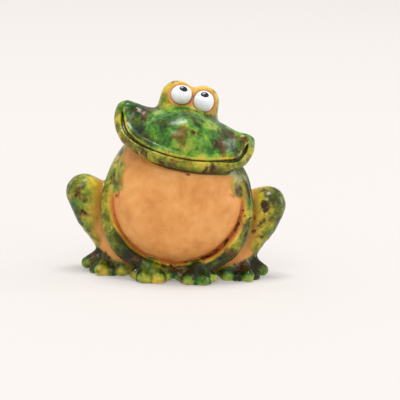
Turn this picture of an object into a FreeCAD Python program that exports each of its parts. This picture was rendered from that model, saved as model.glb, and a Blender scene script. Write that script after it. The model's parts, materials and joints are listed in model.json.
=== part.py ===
"""Glazed terracotta frog figurine, sitting upright with a round belly and its head tilted to one side.

The frog is hand-assembled pottery: hollow cast shells for the body and head, and solid limbs, feet, lips and eyes
that are stuck on with slip before firing. Each casting is one solid, and they meet face to face.

Frame: millimetres, +Z up, X across the frog, the frog faces -Y. Z = 0 is the table that it stands on, and the origin
is under the middle of the figure. "left" and "right" are as seen by someone who looks at its face (left is -X).
"""

import FreeCAD
import Part

import math
import os

V = FreeCAD.Vector

# ---------------------------------------------------------------- driving dimensions
WALL = 5.0                  # thickness of the cast shells
SHIFT_Y = 2.0               # moves the modelled frog along Y so that the origin is under its middle
SHIFT_X = 1.15              # the same along X

# body: an egg with a taller upper half
BODY_CENTRE = V(-0.8, 2.0, 50.0)
BODY_HALF_WIDTH = 55.0
BODY_HALF_DEPTH = 46.0
BODY_TOP = 67.0             # height of the egg above its widest level
BODY_BOTTOM = 52.0          # depth of the egg below its widest level
NECK_Z = 100.0              # level of the joint between body and head
SEAM_Y = 2.0                # plane of the joint between the two body castings

# belly: a flattened dome that swells out of the front casting
BELLY_CENTRE = V(0.3, -16.0, 54.5)
BELLY_RADII = V(48.5, 36.0, 45.0)

# base slab with the vent that lets steam out of the hollow in the kiln
SLAB_THICKNESS = 5.0
SLAB_CENTRE = V(-0.8, 3.0, 0.0)
SLAB_HALF_WIDTH = 32.0
SLAB_HALF_DEPTH = 27.5
VENT_RADIUS = 8.0

# head, in its own frame: x across the mouth, z up, then rolled about Y and set on the body
HEAD_CENTRE = V(3.2, 0.0, 108.0)
HEAD_ROLL_DEG = 9.5         # the frog's left, at +X, is the lower side
SKULL_CENTRE = V(0.0, -14.0, -0.5)
SKULL_RADII = V(39.0, 36.0, 18.5)
CHEEK_INNER = (V(24.0, -17.0, -2.0), 13.5)
CHEEK_OUTER = (V(43.0, -13.5, 4.0), 8.4)

# lips: half of each path, from the corner of the mouth towards the middle, with the coil's radius at each point
LOWER_LIP = [
    (V(48.4, -12.5, 7.6), 3.7),
    (V(48.4, -16.9, 1.0), 4.1),
    (V(45.2, -23.0, -6.0), 4.3),
    (V(37.5, -32.5, -12.0), 4.6),
    (V(24.0, -41.0, -15.6), 4.8),
    (V(9.0, -45.6, -16.9), 4.9),
]
UPPER_LIP = [
    (V(45.0, -16.0, 7.6), 1.9),
    (V(43.4, -23.5, -0.5), 2.0),
    (V(35.8, -33.8, -6.2), 2.1),
    (V(23.0, -43.0, -9.6), 2.2),
    (V(9.0, -47.6, -11.0), 2.3),
]

# eyes, in the head's frame: (hood centre, hood radius, eyeball centre, eyeball radii)
HOOD_FOOT = 10.0            # how far the hood's round column goes down from its centre, into the skull
EYES = {
    "left": (V(-10.4, -6.5, 24.0), 12.2, V(-7.8, -15.0, 27.3), V(8.0, 7.4, 7.2)),
    "right": (V(8.9, -6.5, 24.0), 12.0, V(9.3, -15.0, 25.7), V(7.6, 7.6, 8.1)),
}
HOOD_SPLIT_X = -1.1         # plane where the two hoods meet
PUPIL_RADII = V(2.8, 2.0, 0.9)
PUPIL_UP_DEG = 49.0         # how far the frog looks up
PUPIL_SIDE_DEG = {"left": 9.0, "right": -3.0}

# limbs: (centre, radius) of the balls that a limb runs between, by side
KNEE = {"left": (V(-69.8, -2.0, 58.4), 12.2), "right": (V(67.7, -2.0, 54.7), 12.0)}
CALF = {"left": (V(-62.8, -2.5, 43.0), 12.8), "right": (V(63.0, -2.5, 41.0), 12.8)}
HIP = {"left": (V(-44.0, 9.0, 47.0), 15.5), "right": (V(44.0, 9.0, 46.5), 15.5)}
ANKLE = {"left": (V(-49.6, -1.0, 21.5), 8.6), "right": (V(51.8, -1.0, 21.0), 8.6)}
SHANK_END = {"left": (V(-35.0, -20.0, 8.0), 6.4), "right": (V(35.0, -19.5, 8.0), 6.4)}

# feet: heel ball, then the toe balls from the outside in
HIND_HEEL = {"left": (V(-47.0, -3.0, 10.5), 8.6), "right": (V(48.5, -3.0, 10.5), 8.6)}
HIND_TOES = {
    "left": [(V(-65.6, -8.0, 6.0), 4.6), (V(-55.2, -24.0, 4.4), 5.2), (V(-40.0, -24.2, 4.2), 5.0)],
    "right": [(V(65.6, -9.0, 6.0), 4.6), (V(54.2, -25.0, 4.4), 5.2), (V(37.6, -23.0, 4.2), 5.0)],
}
FRONT_HEEL = {"left": (V(-18.0, -30.5, 7.2), 8.2), "right": (V(17.5, -30.5, 7.2), 8.2)}
FRONT_TOES = {
    "left": [
        (V(-29.2, -36.5, 5.2), 3.8),
        (V(-20.8, -43.2, 4.1), 5.2),
        (V(-10.0, -43.4, 4.2), 5.2),
        (V(-4.6, -36.0, 5.2), 4.1),
    ],
    "right": [
        (V(28.6, -36.5, 5.2), 3.8),
        (V(22.2, -43.4, 4.1), 5.2),
        (V(12.0, -43.4, 4.2), 5.2),
        (V(4.4, -36.0, 5.2), 4.1),
    ],
}
HEEL_STEP = 0.5             # each further ridge of a foot is rolled this much thinner at the heel

# arm coils on the left side, from inside the shoulder to inside the front foot; mirrored for the right
ARM = [
    (V(-38.0, -6.1, 86.1), 4.96),
    (V(-47.6, -14.5, 70.2), 5.72),
    (V(-50.8, -19.4, 53.2), 5.9),
    (V(-48.6, -24.3, 38.6), 5.91),
    (V(-43.6, -28.7, 28.8), 6.27),
    (V(-38.3, -31.4, 21.4), 6.37),
    (V(-30.3, -34.4, 15.4), 6.17),
    (V(-20.8, -35.4, 11.3), 5.7),
    (V(-12.1, -35.6, 9.0), 5.44),
    (V(-6.4, -35.4, 7.9), 5.17),
]
BIG = 400.0                 # side of the boxes that cut half spaces


# ---------------------------------------------------------------- shape helpers
def ellipsoid(centre, radii):
    """Solid ellipsoid with its axes along X, Y and Z."""
    scale = FreeCAD.Matrix()
    scale.scale(radii)
    shape = Part.makeSphere(1.0).transformGeometry(scale)
    shape.translate(centre)
    return shape


def round_cone(start, end):
    """Solid that runs between two balls of any radii, as a tapered capsule. Each end is (centre, radius)."""
    (a, ra), (b, rb) = start, end
    axis = b - a
    length = axis.Length
    sine = (ra - rb) / length
    cosine = math.sqrt(1 - sine * sine)
    lean = math.asin(sine)

    def on_ball(radius, along, angle):
        return V(radius * math.cos(angle), 0, along + radius * math.sin(angle))

    quarter = math.pi / 2
    tangent_a = V(ra * cosine, 0, ra * sine)
    tangent_b = V(rb * cosine, 0, length + rb * sine)
    foot, tip = V(0, 0, -ra), V(0, 0, length + rb)
    outline = [
        Part.Arc(foot, on_ball(ra, 0, (lean - quarter) / 2), tangent_a).toShape(),
        Part.makeLine(tangent_a, tangent_b),
        Part.Arc(tangent_b, on_ball(rb, length, (lean + quarter) / 2), tip).toShape(),
        Part.makeLine(tip, foot),
    ]
    solid = Part.Face(Part.Wire(outline)).revolve(V(0, 0, 0), V(0, 0, 1), 360)
    solid.Placement = FreeCAD.Placement(a, FreeCAD.Rotation(V(0, 0, 1), axis))
    return solid


def coil(stations):
    """Rolled coil of clay through the stations, each (centre, radius)."""
    links = [round_cone(start, end) for start, end in zip(stations, stations[1:])]
    return links[0].fuse(links[1:])


def egg(inset=0.0):
    """The body's outer form, or the hollow inside it when inset is the wall thickness."""
    half_width = BODY_HALF_WIDTH - inset
    top, bottom = BODY_TOP - inset, BODY_BOTTOM - inset
    centre, side = V(0, 0, 0), V(half_width, 0, 0)
    crown, foot = V(0, 0, top), V(0, 0, -bottom)
    upper = Part.Ellipse(crown, side, centre) if top > half_width else Part.Ellipse(side, crown, centre)
    lower = Part.Ellipse(side, foot, centre) if half_width > bottom else Part.Ellipse(foot, side, centre)

    def arc(ellipse, start, end):
        first, last = ellipse.parameter(start), ellipse.parameter(end)
        if abs(last - first) > math.pi:  # the quarter crosses the ellipse's own start
            first, last = (first, last + 2 * math.pi) if first > last else (first + 2 * math.pi, last)
        return Part.ArcOfEllipse(ellipse, min(first, last), max(first, last)).toShape()

    outline = Part.Wire(
        Part.__sortEdges__([arc(upper, side, crown), arc(lower, foot, side), Part.makeLine(foot, crown)])
    )
    solid = Part.Face(outline).revolve(centre, V(0, 0, 1), 360)
    scale = FreeCAD.Matrix()
    scale.scale(V(1, (BODY_HALF_DEPTH - inset) / half_width, 1))
    solid = solid.transformGeometry(scale)
    solid.translate(BODY_CENTRE)
    return solid


def half_space(low, high):
    """Box from the low corner to the high corner, where None means far away."""
    low = [-BIG / 2 if value is None else value for value in low]
    high = [BIG / 2 if value is None else value for value in high]
    size = [h - b for b, h in zip(low, high)]
    return Part.makeBox(*size, V(*low))


def above(z):
    return half_space((None, None, z), (None, None, None))


def below(z):
    return half_space((None, None, None), (None, None, z))


def place_head(shape):
    """Rolls a shape from the head's frame and sets it on the body."""
    shape = shape.copy()
    shape.rotate(V(0, 0, 0), V(0, 1, 0), HEAD_ROLL_DEG)
    shape.translate(HEAD_CENTRE)
    return shape


def mirrored(stations):
    return [(V(-point.x, point.y, point.z), radius) for point, radius in stations]


def both_halves(stations):
    """A lip's whole path, from the left corner to the right, when stations run from a corner to the middle."""
    return mirrored(stations) + stations[::-1]


def largest(shape):
    """The biggest solid of a shape: a cut can leave crumbs of clay behind."""
    return max(shape.Solids, key=lambda solid: solid.Volume)


# ---------------------------------------------------------------- the pieces
def make_base_slab():
    """Oval slab that closes the body's underside, with the round vent through it."""
    outline = Part.Wire(Part.Ellipse(SLAB_CENTRE, SLAB_HALF_WIDTH, SLAB_HALF_DEPTH).toShape())
    plate = Part.Face(outline).extrude(V(0, 0, SLAB_THICKNESS))
    return plate.cut(Part.makeCylinder(VENT_RADIUS, SLAB_THICKNESS, SLAB_CENTRE))


def body_form():
    """Outer form of the body below the neck: the egg with the belly's dome."""
    return egg().fuse(ellipsoid(BELLY_CENTRE, BELLY_RADII))


def body_hollow():
    return egg(WALL).fuse(ellipsoid(BELLY_CENTRE, BELLY_RADII - V(WALL, WALL, WALL)))


def make_body_shells(form, hollow):
    """The belly casting in front of the seam, and the back casting behind it, both open at the neck and the base."""
    band = half_space((None, None, SLAB_THICKNESS), (None, None, NECK_Z))
    shell = form.common(band).cut(hollow)
    front = shell.common(half_space((None, None, None), (None, SEAM_Y, None)))
    back = shell.common(half_space((None, SEAM_Y, None), (None, None, None)))
    return largest(front), largest(back)


def head_form():
    """Outer form of the head, with the nape that closes the top of the egg."""
    skull = ellipsoid(SKULL_CENTRE, SKULL_RADII)
    cheeks = [round_cone(*ends) for ends in (mirrored([CHEEK_INNER, CHEEK_OUTER]), [CHEEK_INNER, CHEEK_OUTER])]
    return place_head(skull.fuse(cheeks))


def head_hollow():
    inset = V(WALL, WALL, WALL)
    return place_head(ellipsoid(SKULL_CENTRE, SKULL_RADII - inset))


def make_hood(side):
    centre, radius, _, _ = EYES[side]
    column = round_cone((centre - V(0, 0, HOOD_FOOT), radius + 0.3), (centre, radius))
    if side == "left":
        own_half = half_space((None, None, None), (HOOD_SPLIT_X, None, None))
    else:
        own_half = half_space((HOOD_SPLIT_X, None, None), (None, None, None))
    return place_head(column.common(own_half))


def make_eyeball(side):
    _, _, centre, radii = EYES[side]
    return place_head(ellipsoid(centre, radii))


def make_pupil(side):
    """A raised drop of black glaze on the eyeball, which looks up."""
    _, _, centre, radii = EYES[side]
    up, aside = math.radians(PUPIL_UP_DEG), math.radians(PUPIL_SIDE_DEG[side])
    gaze = V(math.sin(aside) * math.cos(up), -math.cos(aside) * math.cos(up), math.sin(up))
    on_eye = centre + V(gaze.x * radii.x, gaze.y * radii.y, gaze.z * radii.z)
    drop = ellipsoid(V(0, 0, 0), PUPIL_RADII)
    drop.Placement = FreeCAD.Placement(on_eye, FreeCAD.Rotation(V(0, 0, 1), gaze))
    return place_head(drop)


def make_thigh(side):
    """The folded hind leg: knee and calf in one lobe, with a web of clay to the hip."""
    lobe = round_cone(KNEE[side], CALF[side]).fuse(round_cone(CALF[side], ANKLE[side]))
    return lobe.fuse(round_cone(KNEE[side], HIP[side]))


def make_shank(side):
    return round_cone(ANKLE[side], SHANK_END[side])


def make_foot(heel, toes):
    """A pad with one ridge from the heel to each toe, flat underneath."""
    centre, radius = heel
    ridges = [round_cone((centre, radius - HEEL_STEP * turn), toe) for turn, toe in enumerate(toes)]
    return ridges[0].fuse(ridges[1:]).common(above(0))


# ---------------------------------------------------------------- assembly
def build():
    """Every piece by node name. A later piece gives way where it would overlap an earlier one."""
    form, hollow = body_form(), body_hollow()
    body_block = form.common(half_space((None, None, SLAB_THICKNESS), (None, None, NECK_Z)))
    pieces = {"base_slab": make_base_slab()}
    pieces["belly_shell"], pieces["back_shell"] = make_body_shells(form, hollow)

    lower_lip = place_head(coil(both_halves(LOWER_LIP)))
    upper_lip = place_head(coil(both_halves(UPPER_LIP))).cut(lower_lip)
    nape = egg().common(above(NECK_Z))
    head_block = head_form().cut(body_block).fuse(nape)
    eyeballs = {side: make_eyeball(side) for side in EYES}
    pieces["head_shell"] = largest(
        head_block.cut(head_hollow()).cut(egg(WALL)).cut([lower_lip, upper_lip, *eyeballs.values()])
    )
    pieces["lower_lip_coil"] = largest(lower_lip.cut(body_block))
    pieces["upper_lip_coil"] = largest(upper_lip)
    for side, eyeball in eyeballs.items():
        pieces["eye_hood_" + side] = largest(make_hood(side).cut([head_block, *eyeballs.values()]))
        pieces["eyeball_" + side] = largest(eyeball)
        pieces["pupil_" + side] = largest(make_pupil(side).cut([eyeball, pieces["eye_hood_" + side]]))

    for side in ("left", "right"):
        path = ARM if side == "left" else mirrored(ARM)
        taken = [body_block, head_block, pieces["base_slab"]]
        arm = largest(coil(path).cut(taken))
        thigh = largest(make_thigh(side).cut(taken + [arm]))
        shank = largest(make_shank(side).cut(taken + [arm, thigh]).common(above(0)))
        hind = largest(make_foot(HIND_HEEL[side], HIND_TOES[side]).cut(taken + [arm, thigh, shank]))
        front = largest(make_foot(FRONT_HEEL[side], FRONT_TOES[side]).cut(taken + [arm, shank, hind]))
        pieces["arm_" + side] = arm
        pieces["thigh_" + side] = thigh
        pieces["shank_" + side] = shank
        pieces["hind_foot_" + side] = hind
        pieces["front_foot_" + side] = front
    return pieces


def main():
    os.makedirs("parts", exist_ok=True)
    for name, shape in build().items():
        shape.translate(V(SHIFT_X, SHIFT_Y, 0))
        box = shape.BoundBox
        print(
            f"{name:18s} valid {shape.isValid()} solids {len(shape.Solids)} volume {shape.Volume:9.1f}"
            f" x {box.XMin:6.1f} {box.XMax:6.1f} y {box.YMin:6.1f} {box.YMax:6.1f} z {box.ZMin:6.1f} {box.ZMax:6.1f}"
        )
        shape.exportStep(f"parts/{name}.step")


main()
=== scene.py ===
"""Looks of the glazed terracotta frog figurine.

The frog is sculpted as one clay surface: a signed distance field, in millimetres, that is the smooth union
of every piece's form. Each piece of the CAD model is then cut out of that surface where its own form is the
nearest one, so that the pieces meet without a visible step, as they do under glaze.
"""

import json
import math

import bpy
import numpy as np
from mathutils import Matrix, Vector


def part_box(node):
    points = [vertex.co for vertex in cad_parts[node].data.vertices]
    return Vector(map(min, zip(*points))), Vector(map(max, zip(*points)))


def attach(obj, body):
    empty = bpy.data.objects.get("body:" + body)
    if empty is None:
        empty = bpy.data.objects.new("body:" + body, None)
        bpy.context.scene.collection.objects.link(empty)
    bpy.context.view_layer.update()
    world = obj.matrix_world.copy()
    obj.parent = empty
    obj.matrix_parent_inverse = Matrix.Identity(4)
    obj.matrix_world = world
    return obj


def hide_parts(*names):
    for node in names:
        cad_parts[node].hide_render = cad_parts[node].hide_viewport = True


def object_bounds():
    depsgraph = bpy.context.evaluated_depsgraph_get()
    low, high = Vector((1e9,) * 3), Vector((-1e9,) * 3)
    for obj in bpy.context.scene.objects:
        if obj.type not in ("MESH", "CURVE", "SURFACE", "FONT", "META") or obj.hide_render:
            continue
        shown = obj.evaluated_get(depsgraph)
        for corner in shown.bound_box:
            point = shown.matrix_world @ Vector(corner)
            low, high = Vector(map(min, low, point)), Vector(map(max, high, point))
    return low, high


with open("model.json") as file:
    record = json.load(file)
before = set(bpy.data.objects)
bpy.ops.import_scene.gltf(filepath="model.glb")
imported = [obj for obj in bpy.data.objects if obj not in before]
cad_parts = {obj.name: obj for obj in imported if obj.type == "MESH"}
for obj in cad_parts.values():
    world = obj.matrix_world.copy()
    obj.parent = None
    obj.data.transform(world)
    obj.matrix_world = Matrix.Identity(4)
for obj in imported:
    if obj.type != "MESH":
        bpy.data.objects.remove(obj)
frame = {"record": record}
CAD_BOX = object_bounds()

MM = 1000.0  # millimetres in a metre
CAD_LOW, CAD_HIGH = (np.array(corner) * MM for corner in CAD_BOX)
SIDES = {"left": 1.0, "right": -1.0}  # direction along X that points inward, towards the belly

# ---------------- sculpting grid
STEP = 0.72  # grid step, mm
GRID_MARGIN = 4.0  # room round the CAD box
BLOCK_MARGIN = 9.0  # room round a node's box in which its form is worked out
OVERLAP = 1.6  # how far a piece's skin runs on under its neighbour's
DIVE = 0.6  # how steeply it sinks there
WALL = 5.0  # thickness of the hollow castings
FAR = 60.0  # distance given to what is outside every form

# ---------------- body, mm
BODY_WIDEST_Z = 50.0
BODY_TOP = 67.0  # height of the egg above its widest level
BODY_BOTTOM = 52.0  # depth below it
NECK_Z = 100.0
BELLY_HALF_WIDTH = 48.5
BELLY_HALF_HEIGHT = 45.0
BELLY_CENTRE_Z = 54.5
BELLY_DEPTH = 36.0
BELLY_ASIDE = 1.1  # how far its middle lies beside the body's
BELLY_CREASE = 0.8  # reach of the blend where the belly meets the arms
BELLY_MELT = 16.0  # reach where it melts into the shoulders
BELLY_MELT_Z = (56.0, 80.0)
SLAB_RADII = (32.0, 27.5)
SLAB_TOP = 5.0
VENT_RADIUS = 8.0

# limbs, as (inward, back, up, radius) from the outer front bottom corner of the node's own box; a toe also
# has the height and radius of its ridge where the ridge meets the foot
ARM = [
    (18.7, 35.1, 83.3, 5.0),
    (9.2, 26.6, 67.3, 5.6),
    (6.1, 21.6, 50.3, 5.7),
    (8.1, 16.6, 35.8, 5.9),
    (12.9, 12.6, 26.2, 6.1),
    (18.4, 10.2, 18.9, 6.0),
    (26.4, 8.8, 13.2, 5.2),
    (35.7, 8.4, 9.5, 4.5),
    (44.7, 8.4, 7.6, 4.0),
    (52.8, 8.8, 6.6, 3.4),
]
THIGH = {
    "left": [(12.4, 13.3, 45.5, 12.2), (19.0, 12.8, 30.0, 12.6), (32.3, 14.3, 8.6, 8.8)],
    "right": [(12.2, 13.3, 42.3, 12.0), (17.0, 12.8, 28.6, 12.4), (28.0, 14.3, 8.6, 8.8)],
}
HIP = (37.0, 24.3, 34.0, 15.5)
HIP_REACH = 6.0  # reach of the blend between thigh and hip
SHANK = [(6.2, 25.0, 19.8, 8.6), (13.0, 14.0, 11.5, 7.4), (22.0, 6.4, 6.4, 6.2)]
HIND_TOES = [
    (4.6, 21.2, 6.0, 4.5, 9.4, 5.8),
    (15.5, 5.4, 4.0, 4.6, 8.2, 3.8),
    (31.2, 6.2, 3.9, 4.5, 7.6, 3.8),
]
FRONT_TOES = [
    (3.8, 12.1, 4.8, 3.6, 6.6, 3.2),
    (11.0, 5.2, 3.7, 4.6, 7.0, 3.6),
    (21.9, 5.1, 3.8, 4.6, 7.0, 3.6),
    (28.4, 12.6, 4.8, 3.9, 6.6, 3.2),
]
FEET = {  # heel, toes, and the height and radius of a web's end between two toes
    "hind_foot_": ((22.5, 26.5, 10.5, 8.6), HIND_TOES, (2.4, 4.4)),
    "front_foot_": ((15.2, 14.6, 6.6, 7.6), FRONT_TOES, (1.9, 3.2)),
}
# from the heel to where the ridges and the webs start, as shares of the heel's radius
RIDGE_START = (0.0, 0.0, 0.35, -0.38)
WEB_START = (0.0, 0.0, -0.10, -0.26)
RIDGE_MEETS = 0.6  # where a toe's ridge meets the foot, from heel to tip
RIDGE_REACH = 2.8  # reach of the blend between ridge and foot
WEB_REACH = 3.0  # reach of the blend between one web and the next
WEB_HEEL_SHARE = 0.05  # how far a web's end stays back towards the heel from the line between toe tips

# ---------------- head, mm, in its own rolled frame
HEAD_FROM_LIP = (-0.5, 29.65, 2.5)  # from the middle of the lower lip's box to the head's origin
HEAD_ROLL = math.radians(9.5)
SKULL = ((0.0, -14.0, -2.5), (39.0, 36.0, 16.5))
SNOUT = ((0.0, -23.0, 0.5), (25.0, 25.0, 17.5))
CHEEK = {
    "left": [(-22.0, -16.0, -2.0, 13.0), (-35.0, -14.0, 3.0, 10.2), (-44.0, -13.5, 7.2, 7.6)],
    "right": [(22.0, -16.0, -2.0, 13.0), (35.0, -14.5, -0.6, 9.7), (44.0, -14.5, 1.6, 6.8)],
}
CHEEK_REACH = 8.0  # reach of the blend between skull and cheek
SNOUT_REACH = 6.0  # between skull and snout
LOWER_LIP = [
    (48.4, -12.5, 7.6, 3.6),
    (48.6, -16.9, 1.0, 4.0),
    (45.2, -23.0, -6.0, 4.3),
    (37.5, -32.5, -12.0, 4.6),
    (24.0, -41.0, -15.6, 4.8),
    (9.0, -45.6, -16.9, 4.9),
]
UPPER_LIP = [
    (44.6, -16.8, 8.5, 1.1),
    (43.0, -23.7, -0.5, 1.4),
    (35.8, -33.9, -6.4, 1.5),
    (23.0, -43.1, -9.9, 1.5),
    (9.0, -47.5, -11.3, 1.5),
]
MOUTH_LINE = [
    (46.6, -18.2, 9.0, 1.0),
    (46.2, -22.7, 0.8, 1.8),
    (41.5, -31.6, -6.5, 1.5),
    (30.0, -41.6, -11.0, 1.1),
    (16.0, -48.0, -12.9, 0.9),
    (6.0, -50.0, -13.6, 0.9),
]
LOBE_LIFT = {"left": 0.6, "right": -4.0}  # how much each corner of the mouth is above its stations
LOBE_X = (30.0, 47.0)  # where that lift begins and is full, mm from the middle
HOODS = {
    "left": {"from_eye": (-2.6, 8.5, -3.3), "radius": 12.1},
    "right": {"from_eye": (-0.4, 8.5, -1.7), "radius": 11.9},
}
HOOD_FOOT = 10.0  # how far a hood's column goes down into the head
HOOD_FLARE = 0.5  # how much wider the column's foot is
SOCKET_GAP = 0.25  # between eyeball and hood
MOUTH_REACH = 1.2  # reach of the blend where each of these is cut into the clay
SOCKET_REACH = 1.6
VENT_REACH = 0.8
SOLE_REACH = 1.2


# ---------------- where the CAD nodes are
def step_up(value, low, high):
    """0 below low, 1 above high, smooth between them."""
    t = np.clip((value - low) / (high - low), 0.0, 1.0)
    return t * t * (3 - 2 * t)


def node_box(node):
    """A node's lowest and highest corners in millimetres."""
    low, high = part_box(node)
    return np.array(low) * MM, np.array(high) * MM


def node_centre(node):
    low, high = node_box(node)
    return (low + high) / 2


def limb_points(node, side, stations):
    """Stations given from the outer front bottom corner of the node's box, as row-frame (x, y, z, radius)."""
    low, high = node_box(node)
    corner = np.array([low[0] if side == "left" else high[0], low[1], low[2]])
    inward = SIDES[side]
    return [
        (corner[0] + inward * across, corner[1] + back, corner[2] + up, radius)
        for across, back, up, radius in stations
    ]


HEAD_ORIGIN = node_centre("lower_lip_coil") + np.array(HEAD_FROM_LIP)
HEAD_TURN = np.array(Matrix.Rotation(HEAD_ROLL, 3, "Y"))


def head_points(stations):
    """Stations in the head's frame, as row-frame (x, y, z, radius)."""
    return [(*(HEAD_ORIGIN + HEAD_TURN @ np.array(station[:3])), station[3]) for station in stations]


def both_halves(stations):
    """A path right across the face, from stations between the corner of the mouth and its middle."""
    left, right = (
        [(-SIDES[side] * x, y, z + lift * step_up(x, *LOBE_X), radius) for x, y, z, radius in stations]
        for side, lift in LOBE_LIFT.items()
    )
    return left + right[::-1]


def smooth_path(stations, steps=4):
    """Catmull-Rom curve through the stations, radius included."""
    points = np.array([stations[0], *stations, stations[-1]], dtype=float)
    path = []
    for before, start, end, after in zip(points, points[1:], points[2:], points[3:]):
        for step in range(steps):
            t = step / steps
            bend = 2 * start + (end - before) * t + (2 * before - 5 * start + 4 * end - after) * t**2
            path.append((bend + (3 * start - before - 3 * end + after) * t**3) / 2)
    path.append(points[-1])
    return path


# ---------------- distance fields, mm, of arrays x, y, z
def smooth_min(a, b, reach):
    overlap = np.maximum(reach - np.abs(a - b), 0.0) / reach
    return np.minimum(a, b) - overlap * overlap * reach / 4


def smooth_max(a, b, reach):
    return -smooth_min(-a, -b, reach)


def ellipsoid(x, y, z, centre, radii):
    px, py, pz = x - centre[0], y - centre[1], z - centre[2]
    near = np.sqrt((px / radii[0]) ** 2 + (py / radii[1]) ** 2 + (pz / radii[2]) ** 2)
    slope = np.sqrt((px / radii[0] ** 2) ** 2 + (py / radii[1] ** 2) ** 2 + (pz / radii[2] ** 2) ** 2)
    return near * (near - 1.0) / np.maximum(slope, 1e-6)


def in_head(x, y, z):
    """Row-frame coordinates as the head's own."""
    px, py, pz = x - HEAD_ORIGIN[0], y - HEAD_ORIGIN[1], z - HEAD_ORIGIN[2]
    return tuple(axis[0] * px + axis[1] * py + axis[2] * pz for axis in HEAD_TURN.T)


def link(x, y, z, start, end):
    """Rounded rod between two stations whose radius changes along it."""
    start, end = np.asarray(start, dtype=float), np.asarray(end, dtype=float)
    axis = end[:3] - start[:3]
    length_squared = max(float(axis @ axis), 1e-9)
    px, py, pz = x - start[0], y - start[1], z - start[2]
    along = np.clip((px * axis[0] + py * axis[1] + pz * axis[2]) / length_squared, 0.0, 1.0)
    away = np.sqrt((px - axis[0] * along) ** 2 + (py - axis[1] * along) ** 2 + (pz - axis[2] * along) ** 2)
    return away - (start[3] + (end[3] - start[3]) * along)


def tube(x, y, z, path):
    distance = link(x, y, z, path[0], path[1])
    for start, end in zip(path[1:], path[2:]):
        distance = np.minimum(distance, link(x, y, z, start, end))
    return distance


# ---------------- the pieces' forms
BELLY_LOW, _ = node_box("belly_shell")
BELLY_FRONT = BELLY_LOW[1]
BACK_LOW, BACK_HIGH = node_box("back_shell")
BODY_X = (BACK_LOW[0] + BACK_HIGH[0]) / 2
SEAM_Y = BACK_LOW[1]
BODY_HALF_WIDTH = (BACK_HIGH[0] - BACK_LOW[0]) / 2
BODY_HALF_DEPTH = BACK_HIGH[1] - SEAM_Y
BELLY_CENTRE = (BODY_X + BELLY_ASIDE, BELLY_FRONT + BELLY_DEPTH, BELLY_CENTRE_Z)


def egg(x, y, z):
    centre = (BODY_X, SEAM_Y, BODY_WIDEST_Z)
    upper = ellipsoid(x, y, z, centre, (BODY_HALF_WIDTH, BODY_HALF_DEPTH, BODY_TOP))
    lower = ellipsoid(x, y, z, centre, (BODY_HALF_WIDTH, BODY_HALF_DEPTH, BODY_BOTTOM))
    return np.where(z > BODY_WIDEST_Z, upper, lower)


def belly(x, y, z):
    return ellipsoid(x, y, z, BELLY_CENTRE, (BELLY_HALF_WIDTH, BELLY_DEPTH, BELLY_HALF_HEIGHT))


def belly_reach(z):
    melt = step_up(z, *BELLY_MELT_Z)
    return BELLY_CREASE + (BELLY_MELT - BELLY_CREASE) * melt


def slab(x, y, z):
    centre = node_centre("base_slab")
    round_wall = ellipsoid(x, y, centre[2], centre, (*SLAB_RADII, 1.0))
    return np.maximum(round_wall, z - SLAB_TOP)


def vent(x, y, z):
    centre = node_centre("base_slab")
    return np.maximum(np.hypot(x - centre[0], y - centre[1]) - VENT_RADIUS, z - SLAB_TOP * 2)


def skull(x, y, z):
    """The head above the mouth: skull, raised snout and two cheek lobes."""
    hx, hy, hz = in_head(x, y, z)
    head = ellipsoid(hx, hy, hz, *SKULL)
    for stations in CHEEK.values():
        head = smooth_min(head, tube(hx, hy, hz, smooth_path(stations)), CHEEK_REACH)
    return smooth_min(head, ellipsoid(hx, hy, hz, *SNOUT), SNOUT_REACH)


def coil(kind, side, stations):
    path = smooth_path(limb_points(kind + side, side, stations))
    return lambda x, y, z: tube(x, y, z, path)


def thigh(side):
    node = "thigh_" + side
    lobe = smooth_path(limb_points(node, side, THIGH[side]))
    knee, hip = limb_points(node, side, [THIGH[side][0], HIP])

    def form(x, y, z):
        return smooth_min(tube(x, y, z, lobe), link(x, y, z, knee, hip), HIP_REACH)

    return form


def toe_tips(kind, side):
    return limb_points(kind + side, side, [toe[:4] for toe in FEET[kind][1]])


def foot(kind, side):
    """Thin ridges that run from the heel to each toe tip, with webs of clay sunk between them."""
    heel, toes, web = FEET[kind]
    heel_point = np.array(limb_points(kind + side, side, [heel])[0])
    tips = toe_tips(kind, side)
    ridge_start, web_start = (heel_point + np.array(way) * heel_point[3] for way in (RIDGE_START, WEB_START))

    def form(x, y, z):
        pad = link(x, y, z, web_start, web_start)
        for one, other in zip(tips, tips[1:]):
            middle = (np.array(one) + np.array(other)) / 2
            web_tip = (middle + WEB_HEEL_SHARE * (heel_point - middle))[:2]
            pad = smooth_min(pad, link(x, y, z, web_start, (*web_tip, *web)), WEB_REACH)
        for tip, toe in zip(tips, toes):
            neck = heel_point + RIDGE_MEETS * (np.array(tip) - heel_point)
            neck[2:] = toe[4:]
            ridge = np.minimum(link(x, y, z, ridge_start, neck), link(x, y, z, neck, tip))
            pad = smooth_min(pad, ridge, RIDGE_REACH)
        return pad

    return form


def lip(stations):
    path = smooth_path(head_points(both_halves(stations)), steps=3)
    return lambda x, y, z: tube(x, y, z, path)


def eye_shape(side):
    """Centre and radii of the eyeball, from its own box."""
    low, high = node_box("eyeball_" + side)
    return (low + high) / 2, (high - low) / 2


def hood(side):
    eye_centre, _ = eye_shape(side)
    top = eye_centre + HEAD_TURN @ np.array(HOODS[side]["from_eye"])
    foot_point = top - HEAD_TURN @ np.array([0.0, 0.0, HOOD_FOOT])
    radius = HOODS[side]["radius"]
    return lambda x, y, z: link(x, y, z, (*top, radius), (*foot_point, radius + HOOD_FLARE))


def eyeball(side, grow=0.0):
    centre, radii = eye_shape(side)
    return lambda x, y, z: ellipsoid(x, y, z, centre, radii + grow)


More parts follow.
